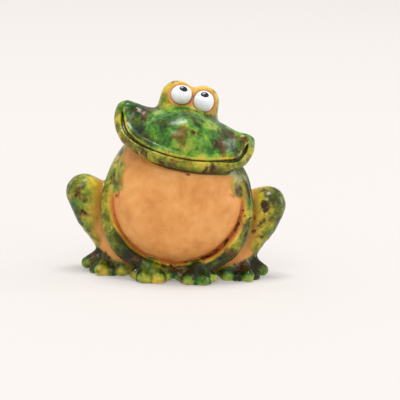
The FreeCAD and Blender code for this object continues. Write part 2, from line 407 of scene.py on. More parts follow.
def clay_forms():
    """(node, form, reach of its blend into the forms before it, territory) in the order they are stuck on.

    The territory is the form that decides which part of the surface is the node's own.
    """

    def front_half(x, y, z):
        cut = np.maximum(np.maximum(egg(x, y, z), y - SEAM_Y), z - NECK_Z)
        return np.minimum(cut, np.maximum(belly(x, y, z), z - NECK_Z))

    def back_half(x, y, z):
        return np.maximum(np.maximum(egg(x, y, z), SEAM_Y - y), z - NECK_Z)

    def head_with_nape(x, y, z):
        return np.minimum(skull(x, y, z), np.maximum(egg(x, y, z), NECK_Z - z))

    forms = [("back_shell", egg, 0.1, back_half), ("base_slab", slab, 5.0, slab)]
    for side in SIDES:
        forms += [
            ("thigh_" + side, thigh(side), 4.0, None),
            ("shank_" + side, coil("shank_", side, SHANK), 7.0, None),
            ("hind_foot_" + side, foot("hind_foot_", side), 5.0, None),
            ("arm_" + side, coil("arm_", side, ARM), 4.0, None),
            ("front_foot_" + side, foot("front_foot_", side), 4.0, None),
        ]
    forms.append(("belly_shell", belly, belly_reach, front_half))
    forms.append(("head_shell", skull, 9.0, head_with_nape))
    forms.append(("lower_lip_coil", lip(LOWER_LIP), 3.0, None))
    forms.append(("upper_lip_coil", lip(UPPER_LIP), 7.0, None))
    forms += [("eye_hood_" + side, hood(side), 6.0, None) for side in SIDES]
    return [(node, form, reach, territory or form) for node, form, reach, territory in forms]


# ---------------- the grid
class Grid:
    """Cubic lattice over the whole object."""

    def __init__(self, low, high, step):
        self.low, self.step = np.asarray(low, dtype=float), step
        self.shape = tuple(int(n) for n in np.ceil((high - self.low) / step) + 1)
        self.axes = [(self.low[i] + step * np.arange(self.shape[i])).astype(np.float32) for i in range(3)]

    def block(self, low, high):
        """The part of the lattice within a box: its slices, and its x, y and z as arrays that broadcast."""
        first = np.maximum(np.floor((low - self.low) / self.step).astype(int), 0)
        last = np.minimum(np.ceil((high - self.low) / self.step).astype(int) + 1, self.shape)
        slices = tuple(slice(a, b) for a, b in zip(first, last))
        x, y, z = (axis[part] for axis, part in zip(self.axes, slices))
        return slices, x[:, None, None], y[None, :, None], z[None, None, :]


def sample(values, points):
    """Values at points given in lattice units, interpolated between the lattice's corners."""
    top = np.array(values.shape) - 2
    base = np.clip(np.floor(points).astype(int), 0, top)
    part = points - base
    result = np.zeros(len(points))
    for dx in (0, 1):
        for dy in (0, 1):
            for dz in (0, 1):
                share = (
                    np.abs(1 - dx - part[:, 0]) * np.abs(1 - dy - part[:, 1]) * np.abs(1 - dz - part[:, 2])
                )
                result += share * values[base[:, 0] + dx, base[:, 1] + dy, base[:, 2] + dz]
    return result


def gradient(values, points, spread=0.5):
    """Slope of the values at points, per lattice unit."""
    columns = []
    for axis in range(3):
        shift = np.zeros(3)
        shift[axis] = spread
        columns.append((sample(values, points + shift) - sample(values, points - shift)) / (2 * spread))
    return np.stack(columns, axis=1)


def surface_net(values):
    """Quads round the zero level of a lattice: one vertex in each cell that the surface crosses."""
    inside = values < 0
    cells = tuple(n - 1 for n in values.shape)
    corners = [(i, j, k) for i in (0, 1) for j in (0, 1) for k in (0, 1)]

    def at_corner(array, corner):
        return array[tuple(slice(c, c + n) for c, n in zip(corner, cells))]

    filled = sum(at_corner(inside, corner).astype(np.int8) for corner in corners)
    crossed = (filled > 0) & (filled < 8)
    index = np.full(cells, -1, dtype=np.int64)
    cell = np.argwhere(crossed)
    index[crossed] = np.arange(len(cell))
    total, count = np.zeros((len(cell), 3)), np.zeros(len(cell))
    for start in corners:
        for axis in range(3):
            if start[axis]:
                continue
            end = tuple(1 if i == axis else start[i] for i in range(3))
            a = at_corner(values, start)[crossed].astype(float)
            b = at_corner(values, end)[crossed].astype(float)
            cuts = (a < 0) != (b < 0)
            where = np.array(start, dtype=float) + np.zeros((len(cell), 3))
            where[:, axis] += np.divide(a, a - b, out=np.zeros_like(a), where=cuts)
            total[cuts] += where[cuts]
            count[cuts] += 1
    vertices = cell + total / count[:, None]

    quads = []
    for axis in range(3):
        u, v = [i for i in range(3) if i != axis]
        span = [slice(1, -1)] * 3
        span[axis] = slice(0, -1)
        ahead = list(span)
        ahead[axis] = slice(1, None)
        near, far = inside[tuple(span)], inside[tuple(ahead)]
        edge = np.argwhere(near != far)
        leaving = near[near != far]
        edge[:, u] += 1
        edge[:, v] += 1
        ring = []
        for du, dv in ((1, 1), (0, 1), (0, 0), (1, 0)):
            corner = edge.copy()
            corner[:, u] -= du
            corner[:, v] -= dv
            ring.append(index[corner[:, 0], corner[:, 1], corner[:, 2]])
        ring = np.stack(ring, axis=1)
        outward = leaving if axis != 1 else ~leaving
        ring[~outward] = ring[~outward, ::-1]
        quads.append(ring)
    return vertices, np.concatenate(quads)


def settle(values, vertices, turns=4):
    """Moves net vertices onto the zero level, by half a cell a turn at most."""
    for _ in range(turns):
        slope = gradient(values, vertices)
        steep = np.maximum((slope**2).sum(axis=1), 0.05)
        move = slope * (sample(values, vertices) / steep)[:, None]
        vertices = vertices - np.clip(move, -0.5, 0.5)
    return vertices


# ---------------- modelling in clay
def ripple(points, wavelength, seed, waves=9):
    """Gentle hand-made unevenness: a sum of sine waves in random directions, about -1 to 1."""
    random = np.random.default_rng(seed)
    total = np.zeros(len(points))
    for _ in range(waves):
        direction = random.normal(size=3)
        direction *= 2 * math.pi / (np.linalg.norm(direction) * wavelength * random.uniform(0.7, 1.4))
        total += np.sin(points @ direction + random.uniform(0, 2 * math.pi))
    return total / math.sqrt(waves * 2)


class Sculpture:
    """The whole clay surface, and the share of it that each node owns."""

    def __init__(self):
        self.grid = Grid(CAD_LOW - GRID_MARGIN, CAD_HIGH + GRID_MARGIN, STEP)
        self.solid = np.full(self.grid.shape, FAR, dtype=np.float32)
        nearest = np.full(self.grid.shape, FAR, dtype=np.float32)
        second = nearest.copy()
        owner = np.full(self.grid.shape, -1, dtype=np.int8)
        self.claims = {}
        for number, (node, form, reach, territory) in enumerate(clay_forms()):
            low, high = node_box(node)
            if node == "back_shell":  # the egg is the form of both body castings
                low = np.minimum(low, BELLY_LOW)
                high = high + np.array([0.0, 0.0, BODY_TOP])
            block, x, y, z = self.grid.block(low - BLOCK_MARGIN, high + BLOCK_MARGIN)
            distance = form(x, y, z).astype(np.float32)
            span = reach(z) if callable(reach) else reach
            self.solid[block] = smooth_min(self.solid[block], distance, span)
            claim = territory(x, y, z).astype(np.float32)
            closer = claim < nearest[block]
            second[block] = np.where(closer, nearest[block], np.minimum(second[block], claim))
            nearest[block] = np.where(closer, claim, nearest[block])
            owner[block][closer] = number
            self.claims[node] = (number, block, claim)
        self.carve()
        for node, (number, block, claim) in self.claims.items():
            rival = np.where(owner[block] == number, second[block], nearest[block])
            self.claims[node] = (block, (claim - rival) / 2)

    def carve(self):
        """The mouth line, the eye sockets, the vent and the flat underside."""
        low, high = node_box("lower_lip_coil")
        self.cut(low, high, lip(MOUTH_LINE), MOUTH_REACH)
        for side in SIDES:
            low, high = node_box("eye_hood_" + side)
            self.cut(low, high, eyeball(side, SOCKET_GAP), SOCKET_REACH)
        low, high = node_box("base_slab")
        self.cut(low, high, vent, VENT_REACH)
        floor = -self.grid.axes[2][None, None, :]
        self.solid = smooth_max(self.solid, floor, SOLE_REACH)

    def cut(self, low, high, form, reach):
        block, x, y, z = self.grid.block(low - BLOCK_MARGIN, high + BLOCK_MARGIN)
        self.solid[block] = smooth_max(self.solid[block], -form(x, y, z), reach)

    def piece(self, node, hollow=False):
        """Vertices in mm and quads of a node's own closed share of the surface."""
        block, claim = self.claims[node]
        solid = self.solid[block]
        skin = solid + DIVE * np.maximum(claim, 0.0)
        values = np.maximum(skin, claim - OVERLAP)
        if hollow:
            values = np.maximum(values, -(solid + WALL))
        values = np.pad(values, 1, constant_values=FAR)
        vertices, quads = surface_net(values)
        vertices = settle(values, vertices)
        first = np.array([part.start for part in block]) - 1
        return self.grid.low + (vertices + first) * STEP, quads

    def lattice(self, points):
        return (points - self.grid.low) / STEP


UNEVENNESS = ((0.35, 26.0, 3), (0.12, 8.0, 4))  # height, wavelength and seed of each ripple, mm
GLAZE_THICKNESS = 0.25
GLAZE_EDGE = (-0.4, 0.9)  # where the glaze's thickness begins and is full, mm from its edge
STAYS_FLAT = (1.0, 6.0)  # heights between which the unevenness comes in


def soften(sculpture, points, bare):
    """Uneven, hand-finished surface: small moves along the surface's normal. The underside stays flat."""
    lattice = sculpture.lattice(points)
    normal = gradient(sculpture.solid, lattice, spread=1.0)
    normal /= np.maximum(np.linalg.norm(normal, axis=1), 1e-6)[:, None]
    move = sum(height * ripple(points, length, seed) for height, length, seed in UNEVENNESS)
    move += GLAZE_THICKNESS * step_up(-bare, *GLAZE_EDGE)
    move *= step_up(points[:, 2], *STAYS_FLAT)
    return points + normal * move[:, None]


def bend_of(sculpture, points, spread):
    """How the surface bends over a few millimetres: above 0 on a ridge, below 0 in a crease."""
    lattice = sculpture.lattice(points)
    reach = spread / STEP
    total = -6 * sample(sculpture.solid, lattice)
    for axis in range(3):
        for sign in (-1, 1):
            shift = np.zeros(3)
            shift[axis] = sign * reach
            total += sample(sculpture.solid, lattice + shift)
    return total / spread


# ---------------- where the glaze lies
# Hues go from 0, yellow, through green to 1, nearly black. Emerald goes from 0, olive glaze, to 1, emerald.
SHOULDER_LINES = (-38.5, 40.5)  # the bare belly's limits across the chest, mm from the body's middle
SHOULDER_Z = (60.0, 68.0)  # where the belly's outline gives way to them
BARE_FRONT = -6.0  # the belly is bare only in front of this Y, mm
WIPED_FOOT = 6.5  # the glaze is wiped off the foot of the body up to this height, mm
GLAZED = -12.0  # "bare" deep inside the glaze, mm
BLEED = 0.8  # how far the look of one piece runs into its neighbour, mm
BLEED_LIMIT = 30.0  # beyond this distance all forms count as equally far
THIGH_BARE = [(20.0, 50.0), (30.0, 57.0), (50.0, 58.5), (66.0, 56.5)]  # height, half width of the bare strip

# areas where brown breaks through the glaze, as seen from the front: place across and up, half width, half
# height, number of spots and the radius of the largest, in mm
SPOT_AREAS = [
    # head: cheek, snout, cheek
    (-33, 121, 10, 6, 9, 2.4),
    (2, 116, 18, 5, 7, 1.6),
    (40, 109, 12, 5, 9, 2.2),
    # lower lip, from corner to corner, and drips on the throat
    (-45, 109, 2, 5, 2, 2.0),
    (-25, 96, 6, 2, 3, 2.0),
    (-3, 90, 8, 1, 2, 2.2),
    (24, 88, 8, 2, 4, 2.4),
    (49, 101, 3, 3, 2, 1.6),
    (8, 84, 24, 2, 4, 0.8),
    # shoulders
    (-45, 69, 4, 8, 5, 1.8),
    (45, 69, 3, 4, 4, 1.8),
    # thighs
    (-71, 61, 4, 7, 5, 2.2),
    (-67, 42, 3, 6, 4, 2.2),
    (67, 55, 2, 4, 3, 3.0),
    (62, 40, 4, 9, 5, 1.5),
    # arms
    (-46, 35, 5, 5, 2, 1.0),
    (53, 44, 3, 10, 4, 1.8),
    (42, 24, 6, 6, 3, 1.7),
    (-28, 16, 5, 3, 3, 1.9),
    # feet
    (-3, 11, 5, 1, 2, 2.6),
    (20, 14, 6, 2, 2, 1.5),
    (-53, 12, 7, 3, 4, 2.3),
    (50, 10, 7, 2, 5, 2.8),
]
SPOT_SPREAD = (0.45, 1.0)  # radii, as shares of the largest
SPOT_SEED = 14
SPOT_WARP = 1.3  # how far a spot's outline is pushed about, mm
SPOT_WARP_LENGTH = 6.0
SPOT_FADE = 4.0  # mm over which a spot's mask fades; the material's noise makes its edge ragged
SMUDGE_SHARE = 3.0  # radius of the smudge under an area's spots, as a share of the largest spot's
SMUDGE_STAIN = 0.40  # stain in the middle of a smudge
SMUDGE_FADE = (0.2, 1.5)  # where it fades, as shares of its radius
BACK_SPOTS = 150  # spots on the sides and back
BACK_SEED = 12
BACK_RADII = (0.8, 2.6)
BACK_FROM_Y = 4.0  # they lie behind this Y, mm
OUTSIDE = 110.0  # distance from the middle that is surely outside the frog, mm
WALK_STEPS = 220  # steps from there to the middle in search of the surface


def blend_zones(points, zones):
    """Mean of the zones' values, weighted by how near each form's surface is. A zone is (form, values)."""
    x, y, z = points.T
    total, weights = 0.0, 1e-9
    for form, values in zones:
        weight = np.exp(-np.clip(form(x, y, z), 0.0, BLEED_LIMIT) / BLEED)
        total = total + weight[:, None] * np.stack(np.broadcast_arrays(*values(points), x)[:-1], axis=1)
        weights = weights + weight
    return total / weights[:, None]


def nearer(forms, points):
    """Distance to the nearer one of a left and a right form."""
    return np.minimum(*(form(*points.T) for form in forms.values()))


def belly_zone(points):
    """The bare belly and throat, with green shoulders above the arms."""
    x, y, z = points.T
    arms = nearer(ARMS, points)
    on_belly = (arms - belly(x, y, z)) / 2
    wander = 1.6 * ripple(points, 14.0, seed=8)
    chest = np.minimum(x - BODY_X - SHOULDER_LINES[0], SHOULDER_LINES[1] - (x - BODY_X)) + wander
    high = step_up(z, *SHOULDER_Z)
    bare = on_belly * (1 - high) + chest * high
    bare = np.minimum(bare, BARE_FRONT - y)
    bare = np.maximum(bare, 0.8 * (WIPED_FOOT - z) + 0.5 * wander)
    green = 0.40 + 0.22 * step_up(np.abs(x - BODY_X), 38.0, 50.0) + 0.12 * step_up(y, 0.0, 20.0)
    return np.clip(bare, GLAZED, 12.0), green, 0.35


def arm_zone(points):
    """Bare in the groove, bright yellow beside it, then green, which is darker near the foot."""
    x, y, z = points.T
    beside = belly(x, y, z)
    ledge = 1.8 + 2.2 * step_up(x, 8.0, 24.0) * (1 - step_up(z, 30.0, 58.0))
    low = 1 - step_up(z, 15.0, 27.0)
    green = 0.04 + (0.55 + 0.25 * low) * step_up(beside, ledge + 0.9, ledge + 3.4)
    return np.clip(ledge - beside, GLAZED, 3.0), green, 0.25


def thigh_zone(points):
    """Green at the outer rim, olive within, and bare clay beside the body and above the foot."""
    across, z = np.abs(points[:, 0] - BODY_X), points[:, 2]
    heights, widths = zip(*THIGH_BARE)
    strip = np.interp(z, heights, widths) - across + 0.8 * ripple(points, 9.0, seed=9)
    green = 0.22 + 0.44 * step_up(across, 63.0, 78.0) + 0.16 * (1 - step_up(z, 22.0, 34.0))
    return np.clip(0.4 * strip, GLAZED, 4.0), green, 0.25


def shank_zone(points):
    """Bare clay at the ankle, green towards the foot."""
    return np.clip((points[:, 2] - 11.5) * 0.4, GLAZED, 3.0), 0.6, 0.3


def foot_zone(kind, side):
    """Dark glaze that has pooled on the foot, with lighter toe tips."""
    tips = toe_tips(kind, side)
    ahead = np.array([0.0, 1.8, 1.6])  # the light patch lies on the front and underside of the tip

    def values(points):
        distance = np.min([np.linalg.norm(points - tip[:3] + ahead, axis=1) - tip[3] for tip in tips], axis=0)
        return GLAZED, 0.24 + 0.62 * step_up(distance, -1.6, 2.2), 0.5

    return values


def head_zone(points):
    """Mottled emerald green, yellow in a line round the foot of the hoods."""
    hoods = nearer(HOOD_FORMS, points)
    across, _, up = in_head(*points.T)
    dark = 0.14 * step_up(-up, -2.0, 6.0) + 0.18 * step_up(np.abs(across), 22.0, 33.0)
    return GLAZED, 0.10 + (0.44 + dark) * step_up(hoods, 0.4, 3.0), 0.85


def upper_lip_zone(points):
    """Green like the head, but for a thin yellow line along the edge of the mouth."""
    return GLAZED, 0.60 - 0.50 * step_up(-MOUTH(*points.T), -1.9, -1.2), 0.6


def lower_lip_zone(points):
    """Olive yellow, greener towards the frog's left."""
    return GLAZED, 0.36 + 0.14 * step_up(points[:, 0], 26.0, 42.0), 0.3


def hood_zone(points):
    """Yellow-green behind, bare clay round the eyeball."""
    x, y, z = points.T
    eyes = nearer(EYEBALLS, points)
    facing = step_up(HEAD_ORIGIN[1] - y, 4.0, 9.0)
    between = 1.8 - np.abs(x - EYE_MIDDLE_X + 0.16 * (z - HEAD_ORIGIN[2] - 20.0))
    bare = np.maximum(1.2 - eyes, between) * 1.1 * facing - 3.6 * (1 - facing)
    green = 0.10 + 0.15 * step_up(eyes, 2.6, 4.8) + 0.20 * (1 - facing)
    return np.clip(bare, GLAZED, 4.0), green, 0.2


MOUTH = lip(MOUTH_LINE)
ARMS = {side: coil("arm_", side, ARM) for side in SIDES}
HOOD_FORMS = {side: hood(side) for side in SIDES}
EYEBALLS = {side: eyeball(side) for side in SIDES}
EYE_MIDDLE_X = (eye_shape("left")[0][0] + eye_shape("right")[0][0]) / 2


def glaze_zones():
    """(form, values) of every zone: values gives "bare" in mm, and "green" and "emerald", at points."""

    def body(x, y, z):
        return np.minimum(egg(x, y, z), belly(x, y, z)) + 0.6

    zones = [(body, belly_zone), (skull, head_zone)]
    zones.append((lip(LOWER_LIP), lower_lip_zone))
    zones.append((lip(UPPER_LIP), upper_lip_zone))
    for side in SIDES:
        zones.append((ARMS[side], arm_zone))
        zones.append((HOOD_FORMS[side], hood_zone))
        zones.append((thigh(side), thigh_zone))
        zones.append((coil("shank_", side, SHANK), shank_zone))
        zones += [(foot(kind, side), foot_zone(kind, side)) for kind in FEET]
    return zones


def groove_shade_and_stain(points):
    """Painted shade in the groove round the belly, together with brown glaze pooled there; thickest low on
    the frog's left.
    """
    x, y, z = points.T
    arms = nearer(ARMS, points)
    right = step_up(x, -5.0, 20.0)
    groove = 1.0 - np.abs(arms + belly(x, y, z) - 0.5) / (2.6 + 2.2 * right)
    side = 0.42 + 0.15 * right
    low = step_up(z, 8.0, 14.0) * (1 - step_up(z, 48.0, 64.0))
    return np.clip(groove, 0.0, 1.0) * side * low


def front_spots():
    """Random spots within each area, and one smudge under them, as across, up and radius."""
    random = np.random.default_rng(SPOT_SEED)
    spots, smudges = [], []
    for across, up, half_width, half_height, count, largest in SPOT_AREAS:
        smudges.append((across, up, SMUDGE_SHARE * largest))
        for _ in range(count):
            aside, above = random.uniform(-1.0, 1.0, size=2)
            radius = largest * random.uniform(*SPOT_SPREAD)
            spots.append((across + aside * half_width, up + above * half_height, radius))
    return spots, smudges


def laid_on(sculpture, spots):
    """Spots seen from the front, each laid on the surface at its place across and up."""
    grid = sculpture.grid
    centres = []
    for across, up, radius in spots:
        i, k = (int(round((value - grid.low[axis]) / grid.step)) for value, axis in ((across, 0), (up, 2)))
        column = sculpture.solid[i, :, k]
        if column.min() < 0:
            centres.append((across, grid.axes[1][np.argmax(column < 0)], up, radius))
    return centres


def back_spots(sculpture):
    """Random spots on the sides and back, where a line to the frog's middle meets its surface."""
    random = np.random.default_rng(BACK_SEED)
    spots = []
    middle = (CAD_LOW + CAD_HIGH) / 2
    while len(spots) < BACK_SPOTS:
        direction = random.normal(size=3)
        direction[1] = abs(direction[1])
        start = middle + direction / np.linalg.norm(direction) * OUTSIDE
        for step in np.linspace(0.0, 1.0, WALK_STEPS):
            point = start + (middle - start) * step
            if sample(sculpture.solid, sculpture.lattice(point[None, :]))[0] < 0:
                break
        radius = random.uniform(*BACK_RADII)
        if point[1] > BACK_FROM_Y:
            spots.append((*point, radius))
    return spots


def spot_stain(points, spots, smudges):
    """Most in the spots, and a little over the smudges."""
    stain_and_shade = np.zeros(len(points))
    warp = [ripple(points, SPOT_WARP_LENGTH, seed=31 + axis) for axis in range(3)]
    warped = points + SPOT_WARP * np.stack(warp, axis=1)
    for spot in spots:
        near = np.linalg.norm(warped - np.array(spot[:3]), axis=1)
        stain_and_shade = np.maximum(stain_and_shade, np.clip(0.5 + (spot[3] - near) / SPOT_FADE, 0.0, 1.0))
    for smudge in smudges:
        near = np.linalg.norm(points - np.array(smudge[:3]), axis=1) / smudge[3]
        stain_and_shade = np.maximum(stain_and_shade, SMUDGE_STAIN * (1 - step_up(near, *SMUDGE_FADE)))
    return stain_and_shade


def add_mask(mesh, name, values):
    attribute = mesh.attributes.new(name, "FLOAT", "POINT")
    attribute.data.foreach_set("value", np.asarray(values, dtype=np.float32))


def make_mesh(name, points, quads):
    """Mesh object in metres, shaded smooth."""
    mesh = bpy.data.meshes.new(name)
    mesh.vertices.add(len(points))
    mesh.vertices.foreach_set("co", (points / MM).astype(np.float32).ravel())
    mesh.loops.add(quads.size)
    mesh.loops.foreach_set("vertex_index", quads.astype(np.int32).ravel())
    mesh.polygons.add(len(quads))
    mesh.polygons.foreach_set("loop_start", np.arange(0, quads.size, 4, dtype=np.int32))
    mesh.polygons.foreach_set("loop_total", np.full(len(quads), 4, dtype=np.int32))
    mesh.update(calc_edges=True)
    mesh.polygons.foreach_set("use_smooth", np.ones(len(quads), dtype=bool))
    mesh.validate()
    piece = bpy.data.objects.new(name, mesh)
    bpy.context.scene.collection.objects.link(piece)
    return piece


# ---------------- materials
# colours as linear red, green, blue
CLAY_DARK = (0.62, 0.237, 0.056)
CLAY = (0.76, 0.333, 0.090)
CLAY_PALE = (0.86, 0.425, 0.140)
# darker red clay: for stains, and for the painted shade in creases and in the groove round the belly
CLAY_RED = (0.48, 0.135, 0.036)
OLIVE_HUES = [
    (0.00, (0.72, 0.50, 0.050)),
    (0.20, (0.52, 0.42, 0.034)),
    (0.36, (0.33, 0.30, 0.020)),
    (0.50, (0.175, 0.20, 0.013)),
    (0.66, (0.090, 0.120, 0.006)),
    (0.82, (0.040, 0.048, 0.003)),
    (1.00, (0.016, 0.013, 0.002)),
]
EMERALD_HUES = [
    (0.00, (0.46, 0.46, 0.060)),
    (0.20, (0.33, 0.40, 0.045)),
    (0.36, (0.19, 0.35, 0.028)),
    (0.50, (0.078, 0.235, 0.022)),
    (0.66, (0.034, 0.130, 0.014)),
    (0.82, (0.018, 0.055, 0.008)),
    (1.00, (0.009, 0.016, 0.005)),
]
GLAZE_YELLOW = (0.66, 0.60, 0.075)
GLAZE_AMBER = (0.52, 0.28, 0.030)
GLAZE_POOL = (0.018, 0.018, 0.003)
GLAZE_BROWN = (0.060, 0.026, 0.004)
GLAZE_RUST = (0.170, 0.088, 0.008)
# brown and black of the stains, also used for the painted shade in the groove round the belly
STAIN_AND_SHADE_BROWN = (0.105, 0.044, 0.005)
STAIN_AND_SHADE_BLACK = (0.040, 0.014, 0.003)
EYE_WHITE = (0.92, 0.94, 0.96)
EYE_SHADE = (0.78, 0.80, 0.86)
EYE_RIM = (0.66, 0.36, 0.28)
GLAZE_SPECULAR = 0.30
BUMP_STRENGTH = 0.8
PUPIL_BLACK = (0.004, 0.004, 0.007)
PUPIL_SHEEN = (0.012, 0.013, 0.02)


class Painter:
    """One material's nodes. Values are sockets or plain numbers and colours."""

    def __init__(self, name):
        self.material = bpy.data.materials.new(name)
        self.material.use_nodes = True
        self.tree = self.material.node_tree
        self.shader = self.tree.nodes["Principled BSDF"]
        self.place = self.tree.nodes.new("ShaderNodeTexCoord").outputs["Object"]

    def feed(self, socket, value):
        if isinstance(value, bpy.types.NodeSocket):
            self.tree.links.new(value, socket)
        else:
            socket.default_value = (*value, 1.0) if isinstance(value, tuple) else value

    def noise(self, size_mm, detail=3.0, roughness=0.55, distortion=0.0):
        """Noise from 0 to 1 whose features are about size_mm across."""
        node = self.tree.nodes.new("ShaderNodeTexNoise")
        self.feed(node.inputs["Vector"], self.place)
        node.inputs["Scale"].default_value = MM / size_mm
        node.inputs["Detail"].default_value = detail
        node.inputs["Roughness"].default_value = roughness
        node.inputs["Distortion"].default_value = distortion
        return node.outputs["Fac"]

    def mask(self, name):
        node = self.tree.nodes.new("ShaderNodeAttribute")
        node.attribute_name = name
        return node.outputs["Fac"]

    def math(self, operation, a, b):
        node = self.tree.nodes.new("ShaderNodeMath")
        node.operation = operation
        self.feed(node.inputs[0], a)
        self.feed(node.inputs[1], b)
        return node.outputs[0]

    def add(self, a, b):
        return self.math("ADD", a, b)

    def times(self, a, b):
        return self.math("MULTIPLY", a, b)

    def between(self, share, a, b):
        """The number that is a share of the way from a to b."""
        return self.add(a, self.times(share, self.math("SUBTRACT", b, a)))

    def swing(self, noise, amount):
        """Noise that swings about 0 by half the amount."""
        return self.times(self.add(noise, -0.5), amount)

    def step(self, value, low, high, start=0.0, end=1.0):
        """start below low, end above high, smooth between them."""
        node = self.tree.nodes.new("ShaderNodeMapRange")
        node.interpolation_type = "SMOOTHSTEP"
        for name, number in (("From Min", low), ("From Max", high), ("To Min", start), ("To Max", end)):
            node.inputs[name].default_value = number
        self.feed(node.inputs["Value"], value)
        return node.outputs["Result"]

    def mix(self, share, a, b):
        node = self.tree.nodes.new("ShaderNodeMix")
        node.data_type = "RGBA"
        self.feed(node.inputs["Factor"], share)
        self.feed(node.inputs[6], a)
        self.feed(node.inputs[7], b)
        return node.outputs[2]

    def ramp(self, value, stops):
        node = self.tree.nodes.new("ShaderNodeValToRGB")
        elements = node.color_ramp.elements
        elements[0].position, elements[0].color = stops[0][0], (*stops[0][1], 1.0)
        elements[1].position, elements[1].color = stops[-1][0], (*stops[-1][1], 1.0)
        for position, colour in stops[1:-1]:
            elements.new(position).color = (*colour, 1.0)
        self.feed(node.inputs["Fac"], value)
        return node.outputs["Color"]

    def finish(self, colour, roughness, height, depth_mm):
        """Links the shader: height from 0 to 1 stands for depth_mm of relief."""
        bump = self.tree.nodes.new("ShaderNodeBump")
        bump.inputs["Distance"].default_value = depth_mm / MM
        bump.inputs["Strength"].default_value = BUMP_STRENGTH
        self.feed(bump.inputs["Height"], height)
        self.feed(self.shader.inputs["Base Color"], colour)
        self.feed(self.shader.inputs["Roughness"], roughness)
        self.feed(self.shader.inputs["Normal"], bump.outputs["Normal"])
        return self.material


def glazed_clay(name):
    """Terracotta with a run, mottled glaze over the part of it that "bare" says isn't bare."""
    paint = Painter(name)
    patches = paint.noise(20.0, detail=3.0)
    mottle = paint.noise(7.5, detail=3.0, distortion=0.3)
    speckle = paint.noise(2.6, detail=4.0, roughness=0.65)
    grain = paint.noise(0.9, detail=3.0)
    bend = paint.mask("bend")
    bare = paint.mask("bare")

    # bare clay
    tone = paint.add(paint.swing(patches, 1.6), paint.swing(mottle, 1.1))
    tone = paint.add(paint.add(tone, paint.swing(grain, 0.35)), 0.5)
    clay = paint.ramp(tone, [(0.0, CLAY_DARK), (0.5, CLAY), (1.0, CLAY_PALE)])
    # painted shade: the bare clay turns darker red in its creases
    clay = paint.mix(paint.step(bend, -0.15, -0.9, 0.0, 0.75), clay, CLAY_RED)
    # stains, and the painted shade of the groove, turn the bare clay dark red
    clay = paint.mix(paint.step(paint.mask("stain_and_shade"), 0.02, 0.42, 0.0, 0.7), clay, CLAY_RED)

    # glaze: hue by zone, yellow where it is thin on ridges, dark where it has pooled
    hue = paint.add(paint.mask("green"), paint.swing(patches, 1.9))
    hue = paint.add(paint.add(hue, paint.swing(mottle, 0.8)), paint.swing(speckle, 0.7))
    emerald = paint.add(paint.mask("emerald"), paint.swing(paint.noise(16.0, detail=3.0), 2.0))
    olive_glaze, emerald_glaze = paint.ramp(hue, OLIVE_HUES), paint.ramp(hue, EMERALD_HUES)
    glaze = paint.mix(paint.step(emerald, 0.3, 0.7), olive_glaze, emerald_glaze)
    rusty = paint.noise(13.0, detail=4.0, roughness=0.55, distortion=0.5)
    rust = paint.step(paint.add(rusty, paint.times(paint.mask("stain_and_shade"), 0.22)), 0.54, 0.70, 0.0, 0.85)
    crumbs = paint.noise(3.5, detail=4.0, roughness=0.6)
    brown = paint.mix(paint.step(crumbs, 0.38, 0.62), GLAZE_BROWN, GLAZE_RUST)
    glaze = paint.mix(rust, glaze, brown)
    depth = paint.step(paint.noise(9.0, detail=4.0, roughness=0.6), 0.52, 0.68, 0.0, 0.65)
    glaze = paint.mix(depth, glaze, GLAZE_POOL)
    ridge = paint.step(paint.add(bend, paint.swing(mottle, 1.6)), 1.2, 2.3, 0.0, 0.85)
    glaze = paint.mix(ridge, glaze, GLAZE_YELLOW)
    pool = paint.step(paint.add(bend, paint.swing(mottle, 0.8)), -0.25, -0.9, 0.0, 0.85)
    glaze = paint.mix(pool, glaze, GLAZE_POOL)

    # the ragged edge between them, with a thin amber fringe
    edge = paint.add(bare, paint.add(paint.swing(mottle, 1.6), paint.swing(speckle, 1.6)))
    fringe = paint.step(edge, -3.2, -0.2, 0.0, 0.75)
    glaze = paint.mix(fringe, glaze, GLAZE_AMBER)
    bareness = paint.step(edge, -1.1, 0.9)
    colour = paint.mix(bareness, glaze, clay)

    # brown spots over both, and over the groove round the belly the same mask paints its shade
    spots = paint.add(paint.mask("stain_and_shade"), paint.add(paint.swing(mottle, 0.9), paint.swing(speckle, 0.9)))
    colour = paint.mix(paint.step(spots, 0.38, 0.58, 0.0, 0.92), colour, STAIN_AND_SHADE_BROWN)
    colour = paint.mix(paint.step(spots, 0.54, 0.74, 0.0, 0.92), colour, STAIN_AND_SHADE_BLACK)

    gloss = paint.step(speckle, 0.2, 0.8, 0.13, 0.25)
    satin = paint.step(grain, 0.2, 0.8, 0.40, 0.56)
    roughness = paint.between(bareness, gloss, satin)
    film = paint.add(paint.times(mottle, 0.6), paint.times(speckle, 0.16))
    weave = paint.add(paint.times(grain, 0.16), 0.2)
    height = paint.between(bareness, film, weave)
    paint.shader.inputs["Specular IOR Level"].default_value = GLAZE_SPECULAR
    return paint.finish(colour, roughness, height, 0.5)


def eye_glaze(name):
    """Thick white gloss with bluish painted shade in soft clouds, and pink where it meets the clay of the
    socket.
    """
    paint = Painter(name)
    cloud = paint.noise(6.0, detail=3.0)
    grain = paint.noise(1.2, detail=3.0)
    # painted shade: bluish clouds over the white
    white = paint.mix(paint.step(cloud, 0.35, 0.75), EYE_WHITE, EYE_SHADE)
    rim = paint.step(paint.add(paint.mask("bare"), paint.swing(grain, 0.5)), -1.3, 0.2, 0.0, 0.85)
    colour = paint.mix(rim, white, EYE_RIM)
    return paint.finish(colour, paint.step(grain, 0.2, 0.8, 0.05, 0.12), cloud, 0.25)


def pupil_glaze(name):
    paint = Painter(name)
    cloud = paint.noise(1.5, detail=3.0)
    colour = paint.mix(paint.step(cloud, 0.4, 0.7), PUPIL_BLACK, PUPIL_SHEEN)
    return paint.finish(colour, paint.step(cloud, 0.2, 0.8, 0.05, 0.14), cloud, 0.1)


